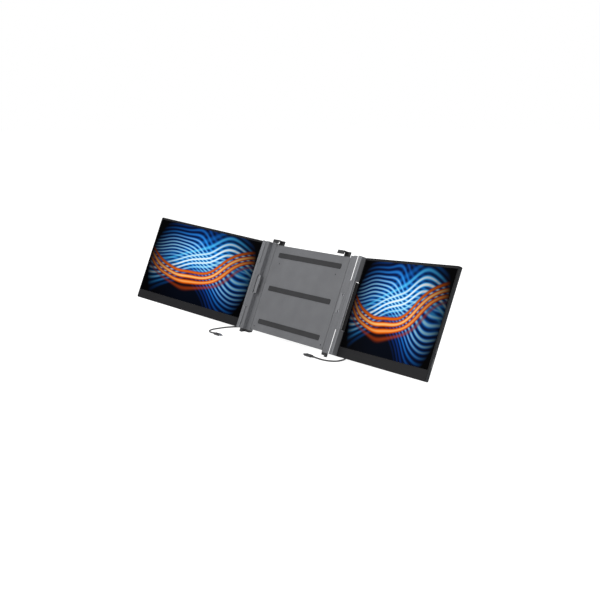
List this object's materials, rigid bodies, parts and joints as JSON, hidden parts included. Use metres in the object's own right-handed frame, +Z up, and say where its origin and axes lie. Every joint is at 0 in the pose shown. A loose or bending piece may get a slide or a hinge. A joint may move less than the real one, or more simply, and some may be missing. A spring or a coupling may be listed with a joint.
{
  "type": "laptop screen extender",
  "caption": "Telescoping bracket with a folding stand that clips behind a laptop's lid and carries a hinged portable screen on each side.",
  "frame": {"origin": "centre of the outline's box seen from above, at the surface it stands on", "axes": "+X to the right seen from the user's seat, +Y to the rear, +Z up"},
  "size_m": [1.0681, 0.2077, 0.2504],
  "materials": {
    "housing_plastic": "fine textured",
    "plate_metal": "satin",
    "black_rubber": "matt",
    "guide_plastic": "satin",
    "lug_metal": "satin",
    "steel": "brushed",
    "black_steel": "black oxide",
    "rail_metal": "satin",
    "column_metal": "blasted, dark grey anodised",
    "clip_metal": "blasted, grey anodised",
    "black_metal": "satin black",
    "cover_metal": "blasted, black anodised",
    "frame_plastic": "fine textured",
    "lcd_metal": "plain sheet",
    "screen_glass": "anti-glare, picture behind it",
    "board": "solder mask",
    "black_plastic": "fine textured",
    "button_plastic": "satin",
    "cable_jacket": "satin"
  },
  "bodies": {
    "bracket": {"back_shell": "housing_plastic", "front_plate": "plate_metal", "lid_pads": "black_rubber", "rail_guides": "guide_plastic", "leg_lugs": "lug_metal", "leg_pin": "steel", "housing_screws": "black_steel"},
    "stand": {"leg_plate": "plate_metal", "leg_foot": "black_rubber"},
    "left_arm": {"left_rails": "rail_metal", "left_yoke": "rail_metal", "left_column": "column_metal", "left_foot": "black_rubber", "left_hinge_shaft": "steel", "left_rail_screws": "black_steel", "left_side_clip_pin": "steel", "left_cable": "cable_jacket", "left_laptop_plug": "black_plastic"},
    "left_screen": {"left_back_cover": "cover_metal", "left_front_frame": "frame_plastic", "left_lcd_module": "lcd_metal", "left_cover_glass": "screen_glass", "left_driver_board": "board", "left_speakers": "black_plastic", "left_ports": "steel", "left_knuckles": "column_metal", "left_cover_screws": "black_steel", "left_screen_plug": "black_plastic"},
    "left_side_clip": {"left_side_clip": "clip_metal", "left_side_clip_pad": "black_rubber"},
    "left_top_clip": {"left_top_clip": "black_metal", "left_top_clip_pad": "black_rubber"},
    "left_power_button": {"left_power_button": "button_plastic"},
    "left_menu_rocker": {"left_menu_rocker": "button_plastic"},
    "right_arm": {"right_rails": "rail_metal", "right_yoke": "rail_metal", "right_column": "column_metal", "right_foot": "black_rubber", "right_hinge_shaft": "steel", "right_rail_screws": "black_steel", "right_side_clip_pin": "steel", "right_cable": "cable_jacket", "right_laptop_plug": "black_plastic"},
    "right_screen": {"right_back_cover": "cover_metal", "right_front_frame": "frame_plastic", "right_lcd_module": "lcd_metal", "right_cover_glass": "screen_glass", "right_driver_board": "board", "right_speakers": "black_plastic", "right_ports": "steel", "right_knuckles": "column_metal", "right_cover_screws": "black_steel", "right_screen_plug": "black_plastic"},
    "right_side_clip": {"right_side_clip": "clip_metal", "right_side_clip_pad": "black_rubber"},
    "right_top_clip": {"right_top_clip": "black_metal", "right_top_clip_pad": "black_rubber"},
    "right_power_button": {"right_power_button": "button_plastic"},
    "right_menu_rocker": {"right_menu_rocker": "button_plastic"}
  },
  "joints": [
    {"name": "stand_hinge", "type": "hinge", "parent": "bracket", "child": "stand", "pos_m": [-0.00373, 0.06673, 0.13809], "axis": [1, 0, 0], "range_deg": [-36, 24]},
    {"name": "left_arm_slide", "type": "slide", "parent": "bracket", "child": "left_arm", "axis": [-1, 0, 0], "range_m": [0, 0.038]},
    {"name": "left_screen_hinge", "type": "hinge", "parent": "left_arm", "child": "left_screen", "pos_m": [-0.18773, 0.03164, 0.11012], "axis": [0, 0.3714, 0.9285], "range_deg": [-47.2, 162.8], "deforming": ["left_cable"]},
    {"name": "left_side_clip_hinge", "type": "hinge", "parent": "left_arm", "child": "left_side_clip", "pos_m": [-0.16613, 0.03108, 0.11304], "axis": [0, 0.3714, 0.9285], "range_deg": [-100, 0]},
    {"name": "left_top_clip_slide", "type": "slide", "parent": "bracket", "child": "left_top_clip", "axis": [0, 0.3714, 0.9285], "range_m": [0, 0.02]},
    {"name": "left_power_press", "type": "slide", "parent": "left_screen", "child": "left_power_button", "axis": [0.9553, 0.2746, -0.1098], "range_m": [0, 0.0005], "stiffness_N_per_m": 600, "springref_m": -0.0008},
    {"name": "left_rocker_tilt", "type": "hinge", "parent": "left_screen", "child": "left_menu_rocker", "pos_m": [-0.53053, -0.0855, 0.0762], "axis": [-0.2957, 0.887, -0.3548], "range_deg": [-3, 3], "stiffness_Nm_per_rad": 0.3},
    {"name": "right_arm_slide", "type": "slide", "parent": "bracket", "child": "right_arm", "axis": [1, 0, 0], "range_m": [0, 0.038]},
    {"name": "right_screen_hinge", "type": "hinge", "parent": "right_arm", "child": "right_screen", "pos_m": [0.18027, 0.027, 0.11198], "axis": [0, -0.3714, -0.9285], "range_deg": [-42.6, 167.4], "deforming": ["right_cable"]},
    {"name": "right_side_clip_hinge", "type": "hinge", "parent": "right_arm", "child": "right_side_clip", "pos_m": [0.15867, 0.03108, 0.11304], "axis": [0, -0.3714, -0.9285], "range_deg": [-100, 0]},
    {"name": "right_top_clip_slide", "type": "slide", "parent": "bracket", "child": "right_top_clip", "axis": [0, 0.3714, 0.9285], "range_m": [0, 0.02]},
    {"name": "right_power_press", "type": "slide", "parent": "right_screen", "child": "right_power_button", "axis": [-0.9759, 0.2025, -0.081], "range_m": [0, 0.0005], "stiffness_N_per_m": 600, "springref_m": -0.0008},
    {"name": "right_rocker_tilt", "type": "hinge", "parent": "right_screen", "child": "right_menu_rocker", "pos_m": [0.53076, -0.0598, 0.06592], "axis": [0.2181, 0.9061, -0.3624], "range_deg": [-3, 3], "stiffness_Nm_per_rad": 0.3}
  ]
}
